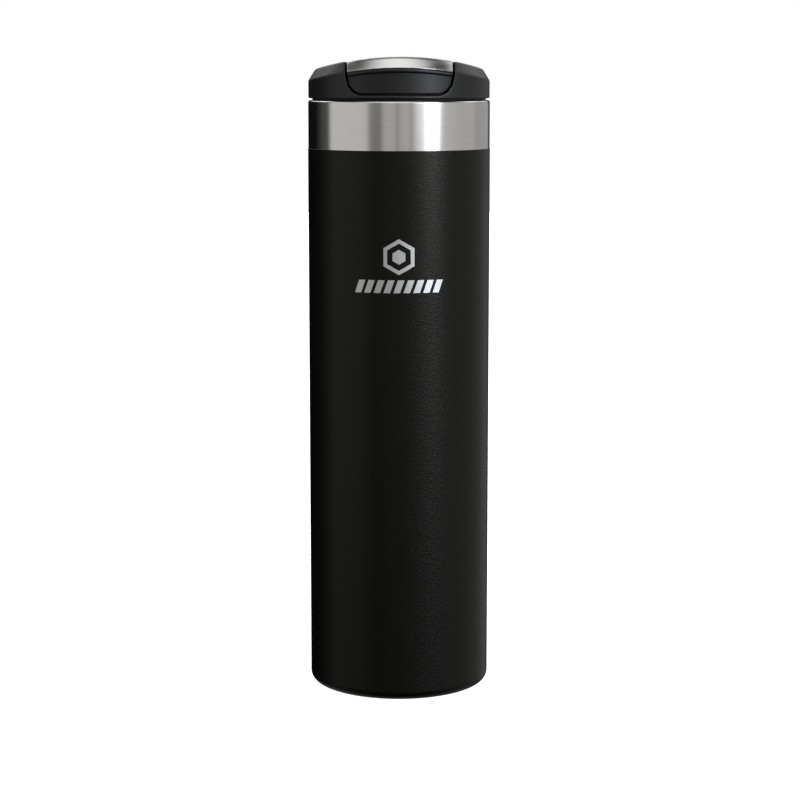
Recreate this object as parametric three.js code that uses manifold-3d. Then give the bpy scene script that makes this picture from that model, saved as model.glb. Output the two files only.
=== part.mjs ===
// A slim insulated travel mug: a double-walled steel bottle, and a screw-in lid with a flip cap.
// Millimetres, +Z up, origin at the centre of the base, the drinking side faces -Y.

import * as THREE from "three";
import { mergeVertices } from "three/addons/utils/BufferGeometryUtils.js";
import Module from "manifold-3d";

const wasm = await Module();
wasm.setup();

// ---------------------------------------------------------------- driving dimensions
const SEGMENTS = 48; // sides of a round piece
const GAP = 0.3; // clearance between pieces that rest on each other

// Bottle
const COAT_R = 36.5; // over the powder coat
const BAND_R = 36.35; // bare steel band at the mouth
const COAT_TOP = 218.9;
const RIM_TOP = 237.9;
const RIM_EDGE_R = 0.8;
const RIM_MOUTH_R = 33; // where the outer wall's turned-in rim ends
const SHEET = 0.5; // steel sheet of the outer wall and the base
const BASE_CORNER_R = 4.5;
const FOOT_R = 27.2; // inner edge of the standing ring
const BASE_PAN_R = 33;
const BASE_RECESS_R = 27;
const BASE_PAN_Z = 3.2; // underside of the recessed pan
const DIMPLE_Z = 4.8; // the dimple round the pump-out port is deeper
const DIMPLE_R = 6;
const PORT_R = 1.5; // pump-out port in the base pan
const SOLDER_R = 4.5; // solder bead under the port
const BASE_PLATE_R = 26.6;
const BASE_PLATE_LOW = 1.4;
const BASE_PLATE_HIGH = 2.8;
const GETTER_R = 4.5;
const GETTER_HEIGHT = 2;
const GETTER_X = 15;

// Inner vessel
const LINER_R = 31.4;
const LINER_WALL = 0.4;
const LINER_FLOOR = 9.6;
const LINER_CORNER_R = 9;
const BEAD_R = 29.7; // rolled bead that the stopper's seal sits on
const BEAD_BOTTOM = 221;
const BEAD_TOP = 226;

// Screw thread between the bottle and the lid
const THREAD_LEAD = 12; // rise in one turn
const THREAD_STARTS = 3;
const THREAD_SPAN = THREE.MathUtils.degToRad(200);
const THREAD_STEPS = 20;
const RIB_ROOT = 1; // half-width of a rib at its root
const RIB_CREST = 0.5; // half-width of a rib at its crest
const THREAD_BASE = -11; // lower end of the bottle's ribs, below the lid's seat
const INNER_CREST_R = 30.5; // ribs on the bottle
const OUTER_CREST_R = 31; // ribs on the lid

// Lid: heights are measured from the collar's lower edge
const LID_SEAT = 238.7;
const LID_R = 36.25;
const LID_EDGE_R = 0.5;
const CREASE = 11.8; // where the wall meets the chamfer, at the front
const CREASE_ARCH_R = 136; // the crease falls away to both sides on this arc
const TOP = 16.25;
const TOP_R = 33; // where the chamfer meets the arched top
const TOP_ARCH_R = 120;
const CAVITY_R = 32.9; // hollow in the collar's underside
const CAVITY_TOP = 5;
const GASKET_R = 34.7; // sets the groove under the collar
const GASKET_BOTTOM = -0.6;
const GASKET_STEP = -0.2; // the outer flange is thinner than the inner ring
const GASKET_TOP = 1.2;
const GASKET_INNER_R = 31.4;
const CHEEK_HOLLOW_R = 31.4; // hollow in each cheek, between the slot's wall and this radius
const CHEEK_HOLLOW_TOP = 10;
const CHEEK_WALL = 2.2;

// Flip cap and its slot
const SLOT_HALF = 21.1;
const CAP_HALF = 20.4;
const SKIRT_R = 34; // recessed front face
const SKIRT_INNER_R = 32.6;
const SKIRT_BOTTOM = 2.05;
const FRONT_CORNER_R = 6; // lower corners of the front face
const LIP = 1.2; // thickness of the thumb lip
const PLATE = 0.8; // steel cover
const PLATE_REAR = 18;
const CAP_WALL = 1.6;
const CAP_BOTTOM = 8.6;
const CAP_HOLLOW_REAR = 17;
const CAP_HOLLOW_R = 30.9;
const CAP_LINER = 1.4; // thickness of the liner panel in the cap

// Hinge
const PIN_Y = 24;
const PIN_H = 10.3;
const PIN_R = 1.2;
const PIN_HALF = 23.4;
const KNUCKLE_R = 5.5;
const POCKET_R = 6.2;
const OPEN_ANGLE = THREE.MathUtils.degToRad(120);

// Stopper
const PLUG_R = 30;
const PLUG_INNER_R = 26.6;
const PLUG_BOTTOM = -14.7;
const FLANGE_R = 32;
const FLANGE_TOP = 2.3;
const FLANGE_BOTTOM = 1.5;
const SEAL_GROOVE_R = 28.4;
const SEAL_R = 30.15;

// Deck, spout and vent
const DECK_BOTTOM = 2.6;
const DECK_TOP = 3.8;
const SPOUT_TOP = 7.6;
const SPOUT_Y = -22.5;
const SPOUT_HALF = 7; // half-length of the drink hole
const SPOUT_HOLE_R = 3.4; // half-width of the drink hole
const SPOUT_WALL = 1.8;
const DUCT_WALL = 1.4;
const VENT_Y = 6;
const VENT_R = 1.3;
const VENT_WALL = 1.2;
const SEAL_STEM_R = 1.5;
const SEAL_HEAD_R = 2.4;

const BEYOND = 40; // further out than any part of the lid

// ---------------------------------------------------------------- helpers
// A closed geometry as a solid for cutting and joining.
function solid(geometry) {
  const bare = geometry.clone();
  bare.deleteAttribute("normal");
  bare.deleteAttribute("uv");
  const merged = mergeVertices(bare, 1e-4);
  const vertProperties = merged.attributes.position.array;
  const triVerts = new Uint32Array(merged.index.array);
  return new wasm.Manifold(new wasm.Mesh({ numProp: 3, vertProperties, triVerts }));
}

function geometryOf(made) {
  const { vertProperties, triVerts } = made.getMesh();
  const geometry = new THREE.BufferGeometry();
  geometry.setAttribute("position", new THREE.BufferAttribute(vertProperties, 3));
  geometry.setIndex(new THREE.BufferAttribute(triVerts, 1));
  geometry.computeVertexNormals();
  return geometry;
}

const joined = (first, ...rest) => rest.reduce((sum, part) => sum.add(part), first);
const cut = (first, ...rest) => rest.reduce((left, part) => left.subtract(part), first);

// Turns a profile of [radius, height] points round +Z. It runs counter-clockwise: up the outside.
function turned(profile, segments = SEGMENTS) {
  const points = profile.map(([r, z]) => new THREE.Vector2(r, z));
  const closed = profile[0][0] > 0 ? [...points, points[0].clone()] : points;
  return new THREE.LatheGeometry(closed, segments).rotateX(Math.PI / 2);
}

// Points of an arc in a profile, from one angle to another.
function arc(r, z, radius, from, to, steps) {
  return Array.from({ length: steps + 1 }, (_, i) => {
    const angle = THREE.MathUtils.degToRad(from + ((to - from) * i) / steps);
    return [r + radius * Math.cos(angle), z + radius * Math.sin(angle)];
  });
}

const sag = (x, radius) => radius - Math.sqrt(radius ** 2 - x ** 2);

// A turned form whose points from the lip up fall away to both sides, like the lid's top.
function arched(profile) {
  const start = CREASE - LIP - 3 * GAP;
  const geometry = turned(profile);
  const place = geometry.attributes.position;
  for (let i = 0; i < place.count; i += 1) {
    const z = place.getZ(i);
    const radius = z > (CREASE + TOP) / 2 ? TOP_ARCH_R : CREASE_ARCH_R;
    if (z >= start) place.setZ(i, z - sag(place.getX(i), radius));
  }
  return solid(geometry);
}

// Radius of the lid's outer form, inset by t, at its crease and at its top corner.
const CHAMFER = Math.atan2(TOP - CREASE, LID_R - TOP_R);
const creaseR = (t) => LID_R - t / Math.sin(CHAMFER);
const topCornerR = (t) => TOP_R - t * Math.tan(CHAMFER / 2);

// The arched top, inset by t, as profile points from the corner to the axis.
function topPoints(t) {
  const corner = topCornerR(t);
  return [1, 0.75, 0.5, 0.25, 0].map((share) => [corner * share, TOP - t]);
}

// A shape in X and Z, extruded along Y.
function alongY(shape, from, to) {
  const options = { depth: to - from, bevelEnabled: false, curveSegments: 6 };
  return solid(new THREE.ExtrudeGeometry(shape, options).rotateX(Math.PI / 2).translate(0, to, 0));
}

// A shape in Y and Z, extruded along X on both sides of the centre.
function alongX(shape, half) {
  const options = { depth: 2 * half, bevelEnabled: false, curveSegments: 8 };
  const made = new THREE.ExtrudeGeometry(shape, options).translate(0, 0, -half);
  return solid(made.rotateX(Math.PI / 2).rotateZ(Math.PI / 2));
}

// A shape in X and Y, extruded along Z.
function upright(shape, from, to) {
  const options = { depth: to - from, bevelEnabled: false, curveSegments: 6 };
  return solid(new THREE.ExtrudeGeometry(shape, options).translate(0, 0, from));
}

function block(halfX, fromY, toY, fromZ, toZ) {
  const box = new THREE.BoxGeometry(2 * halfX, toY - fromY, toZ - fromZ);
  return solid(box.translate(0, (fromY + toY) / 2, (fromZ + toZ) / 2));
}

// A slot shape with round ends, centred at (0, y): `half` long each way, `radius` wide each way.
function slotShape(y, half, radius) {
  const straight = half - radius;
  const shape = new THREE.Shape();
  shape.absarc(straight, y, radius, -Math.PI / 2, Math.PI / 2, false);
  shape.absarc(-straight, y, radius, Math.PI / 2, (3 * Math.PI) / 2, false);
  return shape;
}

const spoutSlot = (grow) => slotShape(SPOUT_Y, SPOUT_HALF + grow, SPOUT_HOLE_R + grow);

function disc(y, radius) {
  return new THREE.Shape().absarc(0, y, radius, 0, 2 * Math.PI, false);
}

// One thread rib: a bar wound into a helix, from its root radius to its crest radius.
function rib(rootR, crestR, startAngle, startZ) {
  const section = new THREE.Shape();
  section.moveTo(rootR, -RIB_ROOT);
  section.lineTo(crestR, -RIB_CREST);
  section.lineTo(crestR, RIB_CREST);
  section.lineTo(rootR, RIB_ROOT);
  const options = { depth: THREAD_SPAN, steps: THREAD_STEPS, bevelEnabled: false };
  const bar = new THREE.ExtrudeGeometry(section, options);
  const place = bar.attributes.position;
  for (let i = 0; i < place.count; i += 1) {
    const turn = THREAD_SPAN - place.getZ(i);
    const angle = startAngle + turn;
    const radius = place.getX(i);
    const z = startZ + place.getY(i) + (THREAD_LEAD * turn) / (2 * Math.PI);
    place.setXYZ(i, radius * Math.cos(angle), radius * Math.sin(angle), z);
  }
  return solid(bar);
}

function ribs(rootR, crestR, startZ) {
  return Array.from({ length: THREAD_STARTS }, (_, i) =>
    rib(rootR, crestR, (2 * Math.PI * i) / THREAD_STARTS, startZ),
  );
}

// ---------------------------------------------------------------- finishes
const finish = (color, roughness, metalness) => ({ color, roughness, metalness });
const COAT = finish(0x17181a, 0.55, 0.3);
const STEEL = finish(0xb9b8b5, 0.32, 1);
const DRAWN_STEEL = finish(0xc4c4c2, 0.25, 1);
const BLACK_PLASTIC = finish(0x1c1c1e, 0.45, 0);
const GREY_PLASTIC = finish(0x3a3b3d, 0.5, 0);
const SILICONE = finish(0x2a2b2d, 0.75, 0);
const CLEAR_SILICONE = finish(0xb8babb, 0.6, 0);
const FOAM = finish(0xe8e6df, 0.9, 0);
const SOLDER = finish(0x8d8f92, 0.4, 1);
const GETTER_GREY = finish(0x5a5c60, 0.6, 0.8);

function piece(name, made, look) {
  const geometry = made.isBufferGeometry ? made : geometryOf(made);
  const mesh = new THREE.Mesh(geometry, new THREE.MeshStandardMaterial(look));
  mesh.name = name;
  return mesh;
}

// ---------------------------------------------------------------- bottle
const SHELL_INNER_R = BAND_R - SHEET;

function outerShell() {
  const cornerR = COAT_R - BASE_CORNER_R;
  const innerCornerR = SHELL_INNER_R - cornerR;
  return turned([
    [FOOT_R, 0],
    ...arc(cornerR, BASE_CORNER_R, BASE_CORNER_R, -90, 0, 5),
    [COAT_R, COAT_TOP - 0.1],
    [BAND_R, COAT_TOP + 0.1],
    ...arc(BAND_R - RIM_EDGE_R, RIM_TOP - RIM_EDGE_R, RIM_EDGE_R, 0, 90, 2),
    [RIM_MOUTH_R, RIM_TOP],
    [RIM_MOUTH_R, RIM_TOP - SHEET],
    [SHELL_INNER_R, RIM_TOP - SHEET],
    ...arc(cornerR, BASE_CORNER_R, innerCornerR, 0, -90, 3),
    [FOOT_R, BASE_CORNER_R - innerCornerR],
  ]);
}

function innerLiner() {
  const outerR = LINER_R + LINER_WALL;
  const cornerCentre = LINER_R - LINER_CORNER_R;
  const cornerZ = LINER_FLOOR + LINER_CORNER_R;
  const beadDepth = LINER_R - BEAD_R;
  const mouthR = RIM_MOUTH_R - GAP;
  const vessel = turned([
    [0, LINER_FLOOR - LINER_WALL],
    ...arc(cornerCentre, cornerZ, LINER_CORNER_R + LINER_WALL, -90, 0, 4),
    [outerR, BEAD_BOTTOM],
    [outerR - beadDepth, BEAD_BOTTOM + 2.1],
    [outerR - beadDepth, BEAD_TOP - 2.1],
    [outerR, BEAD_TOP],
    [outerR, RIM_TOP - 2],
    [mouthR, RIM_TOP - 1],
    [mouthR, RIM_TOP - 0.1],
    [LINER_R + 0.5, RIM_TOP - 0.1],
    [LINER_R, RIM_TOP - 1.3],
    [LINER_R, BEAD_TOP],
    [BEAD_R, BEAD_TOP - 2.1],
    [BEAD_R, BEAD_BOTTOM + 2.1],
    [LINER_R, BEAD_BOTTOM],
    ...arc(cornerCentre, cornerZ, LINER_CORNER_R, 0, -90, 4),
    [0, LINER_FLOOR],
  ]);
  return joined(
    solid(vessel),
    ...ribs(LINER_R + 0.2, INNER_CREST_R, LID_SEAT + THREAD_BASE),
  );
}

function baseCap() {
  const flange = SHEET + GAP + 0.15;
  return turned([
    [PORT_R, DIMPLE_Z],
    [DIMPLE_R, DIMPLE_Z],
    [DIMPLE_R, BASE_PAN_Z],
    [BASE_RECESS_R, BASE_PAN_Z],
    [BASE_RECESS_R, flange],
    [BASE_PAN_R, flange],
    [BASE_PAN_R, flange + SHEET],
    [BASE_RECESS_R + SHEET, flange + SHEET],
    [BASE_RECESS_R + SHEET, BASE_PAN_Z + SHEET],
    [DIMPLE_R + SHEET, BASE_PAN_Z + SHEET],
    [DIMPLE_R + SHEET, DIMPLE_Z + SHEET],
    [PORT_R, DIMPLE_Z + SHEET],
  ]);
}

function basePlate() {
  return turned([
    [0, BASE_PLATE_LOW],
    [BASE_PLATE_R - 0.4, BASE_PLATE_LOW],
    [BASE_PLATE_R, BASE_PLATE_LOW + 0.4],
    [BASE_PLATE_R, BASE_PLATE_HIGH],
    [0, BASE_PLATE_HIGH],
  ]);
}

function vacuumSeal() {
  const low = BASE_PAN_Z + 0.4;
  const high = DIMPLE_Z - GAP;
  return turned(
    [
      [0, low],
      [SOLDER_R, low],
      [SOLDER_R, high],
      [PORT_R - GAP, high],
      [PORT_R - GAP, DIMPLE_Z + SHEET + GAP],
      [0, DIMPLE_Z + SHEET + GAP],
    ],
    24,
  );
}

function getter() {
  return new THREE.CylinderGeometry(GETTER_R, GETTER_R, GETTER_HEIGHT, 24).rotateX(Math.PI / 2);
}

function bottle() {
  const pill = piece("getter", getter(), GETTER_GREY);
  pill.position.set(GETTER_X, 0, BASE_PAN_Z + SHEET + GAP + GETTER_HEIGHT / 2);
  return new THREE.Group().add(
    piece("outer_shell", outerShell(), COAT),
    piece("inner_liner", innerLiner(), DRAWN_STEEL),
    piece("base_cap", baseCap(), DRAWN_STEEL),
    piece("base_plate", basePlate(), STEEL),
    piece("vacuum_seal", vacuumSeal(), SOLDER),
    pill,
  );
}

// ---------------------------------------------------------------- lid
function lidGasket() {
  return turned([
    [GASKET_INNER_R, GASKET_BOTTOM],
    [GASKET_R, GASKET_BOTTOM],
    [GASKET_R, GASKET_STEP],
    [CAVITY_R - 0.4, GASKET_STEP],
    [CAVITY_R - 0.4, GASKET_TOP],
    [GASKET_INNER_R, GASKET_TOP],
  ]);
}

function lidForm() {
  return arched([
    [0, 0],
    [LID_R - LID_EDGE_R, 0],
    [LID_R, LID_EDGE_R],
    [LID_R, CREASE],
    ...topPoints(0),
  ]);
}

// The front opening's outline, grown by t: straight sides and round lower corners.
function frontOutline(t) {
  const side = CAP_HALF + t;
  const bottom = SKIRT_BOTTOM - t;
  const cornerR = FRONT_CORNER_R + t;
  const shape = new THREE.Shape();
  shape.moveTo(-side, TOP + 1);
  shape.lineTo(-side, bottom + cornerR);
  shape.absarc(-side + cornerR, bottom + cornerR, cornerR, Math.PI, 1.5 * Math.PI, false);
  shape.absarc(side - cornerR, bottom + cornerR, cornerR, 1.5 * Math.PI, 2 * Math.PI, false);
  shape.lineTo(side, TOP + 1);
  return shape;
}

// Side view of the slot: open at the top, round under the hinge, then a slope for the open cap.
function slotOutline() {
  const floor = PIN_H - POCKET_R;
  const slopeAngle = Math.PI / 2 - OPEN_ANGLE;
  const reach = 20;
  const shape = new THREE.Shape();
  shape.moveTo(-1, floor);
  shape.lineTo(PIN_Y, floor);
  shape.absarc(PIN_Y, PIN_H, POCKET_R, -Math.PI / 2, slopeAngle, false);
  shape.lineTo(
    PIN_Y + POCKET_R * Math.cos(slopeAngle) - reach * Math.sin(slopeAngle),
    PIN_H + POCKET_R * Math.sin(slopeAngle) + reach * Math.cos(slopeAngle),
  );
  shape.lineTo(-1, TOP + 6);
  return shape;
}

// The hollow inside one cheek, on the side given by `sign`.
function cheekHollow(sign) {
  const round = turned([
    [0, CAVITY_TOP - 1],
    [CHEEK_HOLLOW_R, CAVITY_TOP - 1],
    [CHEEK_HOLLOW_R, CHEEK_HOLLOW_TOP],
    [0, CHEEK_HOLLOW_TOP],
  ]);
  const side = new THREE.BoxGeometry(BEYOND, 2 * BEYOND, BEYOND);
  side.translate(sign * (SLOT_HALF + CHEEK_WALL + BEYOND / 2), 0, 0);
  return solid(round).intersect(solid(side));
}

function pinBore(half) {
  const shape = new THREE.Shape().absarc(PIN_Y, PIN_H, PIN_R + GAP, 0, 2 * Math.PI, false);
  return alongX(shape, half);
}

function lidCollar() {
  const cavity = turned([[0, -1], [CAVITY_R, -1], [CAVITY_R, CAVITY_TOP], [0, CAVITY_TOP]]);
  return cut(
    lidForm(),
    solid(cavity),
    cheekHollow(1),
    cheekHollow(-1),
    alongY(frontOutline(SLOT_HALF - CAP_HALF), -BEYOND, 0),
    alongX(slotOutline(), SLOT_HALF),
    pinBore(PIN_HALF + GAP),
  );
}

function stopperBody() {
  const plug = turned([
    [0, FLANGE_BOTTOM - 0.5],
    [PLUG_INNER_R, FLANGE_BOTTOM - 0.5],
    [PLUG_INNER_R, PLUG_BOTTOM],
    [SEAL_GROOVE_R + 0.9, PLUG_BOTTOM],
    [SEAL_GROOVE_R + 0.9, PLUG_BOTTOM + 0.5],
    [SEAL_GROOVE_R, PLUG_BOTTOM + 0.5],
    [SEAL_GROOVE_R, PLUG_BOTTOM + 3.1],
    [PLUG_R, PLUG_BOTTOM + 3.1],
    [PLUG_R, FLANGE_BOTTOM],
    [FLANGE_R, FLANGE_BOTTOM],
    [FLANGE_R, FLANGE_TOP],
    [0, FLANGE_TOP],
  ]);
  const walls = joined(
    solid(plug),
    upright(spoutSlot(DUCT_WALL), PLUG_BOTTOM, FLANGE_BOTTOM),
    upright(disc(VENT_Y, VENT_R + VENT_WALL), PLUG_BOTTOM, FLANGE_BOTTOM),
    ...ribs(PLUG_R - 0.4, OUTER_CREST_R, THREAD_BASE + THREAD_LEAD / THREAD_STARTS / 2),
  );
  return cut(
    walls,
    upright(spoutSlot(0), PLUG_BOTTOM - 1, FLANGE_TOP + 1),
    upright(disc(VENT_Y, VENT_R), PLUG_BOTTOM - 1, FLANGE_TOP + 1),
  );
}

// What fills the plug round its duct and vent tube, between two heights.
function plugFiller(from, to) {
  const radius = PLUG_INNER_R - GAP;
  return cut(
    solid(turned([[0, from], [radius, from], [radius, to], [0, to]])),
    upright(spoutSlot(DUCT_WALL + GAP), from - 1, to + 1),
    upright(disc(VENT_Y, VENT_R + VENT_WALL + GAP), from - 1, to + 1),
  );
}

function stopperSeal() {
  const inner = SEAL_GROOVE_R + GAP;
  const low = PLUG_BOTTOM + 0.8;
  return turned([
    [inner, low],
    [SEAL_R - 0.6, low],
    [SEAL_R, low + 0.6],
    [SEAL_R, low + 1.4],
    [SEAL_R - 0.6, low + 2],
    [inner, low + 2],
  ]);
}

function lidDeck() {
  const floor = turned([
    [0, DECK_BOTTOM],
    [FLANGE_R, DECK_BOTTOM],
    [FLANGE_R, DECK_TOP - 0.3],
    [FLANGE_R - 0.3, DECK_TOP],
    [0, DECK_TOP],
  ]);
  const walls = joined(
    solid(floor),
    upright(spoutSlot(SPOUT_WALL), DECK_BOTTOM, SPOUT_TOP),
    upright(disc(VENT_Y, VENT_R + 1.5), DECK_BOTTOM, SPOUT_TOP),
  );
  return cut(
    walls,
    upright(spoutSlot(0), DECK_BOTTOM - 1, SPOUT_TOP + 1),
    upright(disc(VENT_Y, VENT_R), DECK_BOTTOM - 1, SPOUT_TOP + 1),
  );
}

function hingePin() {
  const shape = new THREE.CylinderGeometry(PIN_R, PIN_R, 2 * PIN_HALF, 16);
  return shape.rotateZ(Math.PI / 2);
}

function lid() {
  const pin = piece("hinge_pin", hingePin(), DRAWN_STEEL);
  pin.position.set(0, PIN_Y, PIN_H);
  const coverTop = PLUG_BOTTOM + 1.5;
  return new THREE.Group().add(
    piece("lid_gasket", lidGasket(), SILICONE),
    piece("lid_collar", lidCollar(), BLACK_PLASTIC),
    piece("stopper_body", stopperBody(), GREY_PLASTIC),
    piece("stopper_cover", plugFiller(PLUG_BOTTOM, coverTop), GREY_PLASTIC),
    piece("stopper_foam", plugFiller(coverTop + GAP, FLANGE_BOTTOM - 0.5 - GAP), FOAM),
    piece("stopper_seal", stopperSeal(), CLEAR_SILICONE),
    piece("lid_deck", lidDeck(), BLACK_PLASTIC),
    pin,
  );
}

// ---------------------------------------------------------------- flip cap
function flipCapPlate() {
  const outline = [
    ...topPoints(PLATE).reverse(),
    [creaseR(PLATE), CREASE],
    [LID_R, CREASE],
    ...topPoints(0),
  ];
  return arched(outline).intersect(block(CAP_HALF, -BEYOND, PLATE_REAR, 0, BEYOND));
}

function flipCapShell() {
  const under = PLATE + GAP;
  const lipTop = CREASE - GAP;
  const lipBottom = lipTop - LIP;
  const front = arched([
    [0, CAP_BOTTOM],
    [SKIRT_INNER_R, CAP_BOTTOM],
    [SKIRT_INNER_R, SKIRT_BOTTOM - 1],
    [SKIRT_R, SKIRT_BOTTOM - 1],
    [SKIRT_R, lipBottom - GAP],
    [LID_R, lipBottom],
    [LID_R, lipTop],
    [creaseR(under), lipTop],
    ...topPoints(under),
  ]).intersect(alongY(frontOutline(0), -BEYOND, PLATE_REAR + 2));
  const knuckle = new THREE.Shape().absarc(PIN_Y, PIN_H, KNUCKLE_R, 0, 2 * Math.PI, false);
  const hinge = joined(
    block(CAP_HALF, PLATE_REAR + GAP, PIN_Y, CAP_BOTTOM, TOP + 1),
    alongX(knuckle, CAP_HALF),
  ).intersect(lidForm());
  const hollow = arched([
    [0, SKIRT_BOTTOM],
    [CAP_HOLLOW_R, SKIRT_BOTTOM],
    [CAP_HOLLOW_R, CREASE],
    ...topPoints(under + CAP_WALL),
  ]).intersect(block(CAP_HALF - CAP_WALL, -BEYOND, CAP_HOLLOW_REAR, 0, BEYOND));
  return cut(front.add(hinge), hollow, pinBore(CAP_HALF + 1));
}

function flipCapLiner() {
  const low = CAP_BOTTOM + 0.2;
  const high = low + CAP_LINER;
  const radius = CAP_HOLLOW_R - 0.4;
  return cut(
    solid(turned([[0, low], [radius, low], [radius, high], [0, high]])).intersect(
      block(CAP_HALF - CAP_WALL - GAP, -BEYOND, CAP_HOLLOW_REAR - GAP, low - 1, high + 1),
    ),
    ...[SPOUT_Y, VENT_Y].map((y) => upright(disc(y, SEAL_STEM_R + GAP), low - 1, high + 1)),
  );
}

// A silicone plug with a flange, held in the cap's liner by a stem with a head.
function plugSeal(y, flange, plug) {
  const flangeLow = SPOUT_TOP + GAP;
  const flangeHigh = CAP_BOTTOM + 0.2 - GAP;
  const headLow = CAP_BOTTOM + 0.2 + CAP_LINER + GAP;
  return joined(
    upright(flange, flangeLow, flangeHigh),
    upright(plug, SPOUT_TOP - 2.2, flangeHigh),
    upright(disc(y, SEAL_STEM_R), flangeLow, headLow + 0.8),
    upright(disc(y, SEAL_HEAD_R), headLow, headLow + 0.8),
  );
}

function flipCap() {
  const spoutSeal = plugSeal(SPOUT_Y, spoutSlot(SPOUT_WALL - GAP), spoutSlot(-0.4));
  const ventSeal = plugSeal(VENT_Y, disc(VENT_Y, VENT_R + 1.5), disc(VENT_Y, VENT_R - 0.4));
  return new THREE.Group().add(
    piece("flip_cap_plate", flipCapPlate(), STEEL),
    piece("flip_cap_shell", flipCapShell(), BLACK_PLASTIC),
    piece("flip_cap_liner", flipCapLiner(), BLACK_PLASTIC),
    piece("spout_seal", spoutSeal, CLEAR_SILICONE),
    piece("vent_seal", ventSeal, CLEAR_SILICONE),
  );
}

// ---------------------------------------------------------------- the whole mug
const lidGroup = lid().add(flipCap());
lidGroup.position.z = LID_SEAT;

export default new THREE.Group().add(bottle(), lidGroup);
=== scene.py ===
"""The looks of a slim insulated travel mug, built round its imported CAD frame. Metres, +Z up."""

import math

import bmesh
import bpy
import numpy as np
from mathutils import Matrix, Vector


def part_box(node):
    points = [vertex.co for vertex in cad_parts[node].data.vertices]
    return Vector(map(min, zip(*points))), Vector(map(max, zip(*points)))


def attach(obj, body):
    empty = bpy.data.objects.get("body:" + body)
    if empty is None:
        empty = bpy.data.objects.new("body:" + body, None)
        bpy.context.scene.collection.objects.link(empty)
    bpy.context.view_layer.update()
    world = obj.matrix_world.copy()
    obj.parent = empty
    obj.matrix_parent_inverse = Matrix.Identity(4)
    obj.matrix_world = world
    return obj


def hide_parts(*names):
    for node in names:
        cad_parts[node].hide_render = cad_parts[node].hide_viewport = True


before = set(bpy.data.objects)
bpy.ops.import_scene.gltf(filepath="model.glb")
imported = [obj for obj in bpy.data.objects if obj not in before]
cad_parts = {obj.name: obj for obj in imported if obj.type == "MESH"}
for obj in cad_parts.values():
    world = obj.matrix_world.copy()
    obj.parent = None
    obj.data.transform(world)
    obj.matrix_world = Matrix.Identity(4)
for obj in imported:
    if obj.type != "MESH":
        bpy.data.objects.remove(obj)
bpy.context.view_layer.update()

MM = 0.001

# ---------------------------------------------------------------- sizes, from the frame
_, shell_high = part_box("outer_shell")
collar_low, collar_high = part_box("lid_collar")
_, plate_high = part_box("flip_cap_plate")
deck_low, deck_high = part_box("lid_deck")
liner_low, liner_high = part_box("inner_liner")
stopper_low, stopper_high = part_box("stopper_body")
pin_low, pin_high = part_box("hinge_pin")

GAP = 0.3 * MM  # between pieces that don't touch

COAT_R = shell_high.x
BAND_R = COAT_R - 0.15 * MM
RIM_TOP = shell_high.z
COAT_TOP = RIM_TOP - 19 * MM
BASE_CORNER_R = 3.7 * MM
RIM_EDGE_R = 0.8 * MM
STEEL_SHEET = 0.5 * MM

SEAT = collar_low.z  # the collar's lower edge; lid heights are measured from it
LID_R = collar_high.x
CREASE = 11.8 * MM
CREASE_ARCH_R = 136 * MM
TOP = plate_high.z - SEAT
TOP_R = 33 * MM
TOP_ARCH_R = 120 * MM
ARCH_END = 0.99  # an arch stays level beyond this share of its radius
CHAMFER = math.atan2(TOP - CREASE, LID_R - TOP_R)

PIN_Y = (pin_low.y + pin_high.y) / 2
PIN_H = (pin_low.z + pin_high.z) / 2 - SEAT
PIN_R = (pin_high.z - pin_low.z) / 2

# ---------------------------------------------------------------- mesh from a distance field
# A field takes arrays x, y, z and gives a distance: negative inside the solid.
PROBE = 0.01 * MM  # how far apart a field is compared to find its slope
FLAT = 1e-6  # a smaller squared slope counts as this
TINY = 1e-9  # keeps a division from zero
BEFORE, AFTER = 2.5, 3  # cells of the grid beyond the box, at its low and its high side
FINAL_REACH = 0.3  # share of a cell that a vertex may move after the faces are thinned


def both(a, b, r=0.0):
    """Where two fields overlap, with the edge between them rounded to radius r."""
    if r == 0:
        return np.maximum(a, b)
    return np.minimum(np.maximum(a, b), -r) + np.hypot(np.maximum(a + r, 0), np.maximum(b + r, 0))


def either(a, b, r=0.0):
    """Two fields joined, with the inner corner between them filled to radius r."""
    return -both(-a, -b, r)


def without(a, b, r=0.0):
    """Field a with b cut away, with the edge rounded to radius r."""
    return both(a, -b, r)


def between(value, low, high):
    return np.maximum(low - value, value - high)


def slope(field, points):
    """The field's gradient at the points."""
    columns = []
    for axis in range(3):
        step = np.zeros(3)
        step[axis] = PROBE
        ahead, behind = points + step, points - step
        columns.append((field(*ahead.T) - field(*behind.T)) / (2 * PROBE))
    return np.stack(columns, 1)


def settle(field, points, reach, rounds=3):
    """Moves the points onto the field's surface, by at most `reach` each round."""
    for _ in range(rounds):
        gradient = slope(field, points)
        square = np.maximum((gradient**2).sum(1), FLAT)
        move = gradient * (field(*points.T) / square)[:, None]
        length = np.linalg.norm(move, axis=1)
        move *= np.minimum(1, reach / np.maximum(length, TINY))[:, None]
        points = points - move
    return points


def crossing_cells(inside):
    """Indices of the cells with a corner inside and another outside."""
    nx, ny, nz = (n - 1 for n in inside.shape)
    corners = [(i, j, k) for i in (0, 1) for j in (0, 1) for k in (0, 1)]
    count = sum(inside[i : i + nx, j : j + ny, k : k + nz].astype(np.int8) for i, j, k in corners)
    return np.argwhere((count > 0) & (count < len(corners)))


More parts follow.
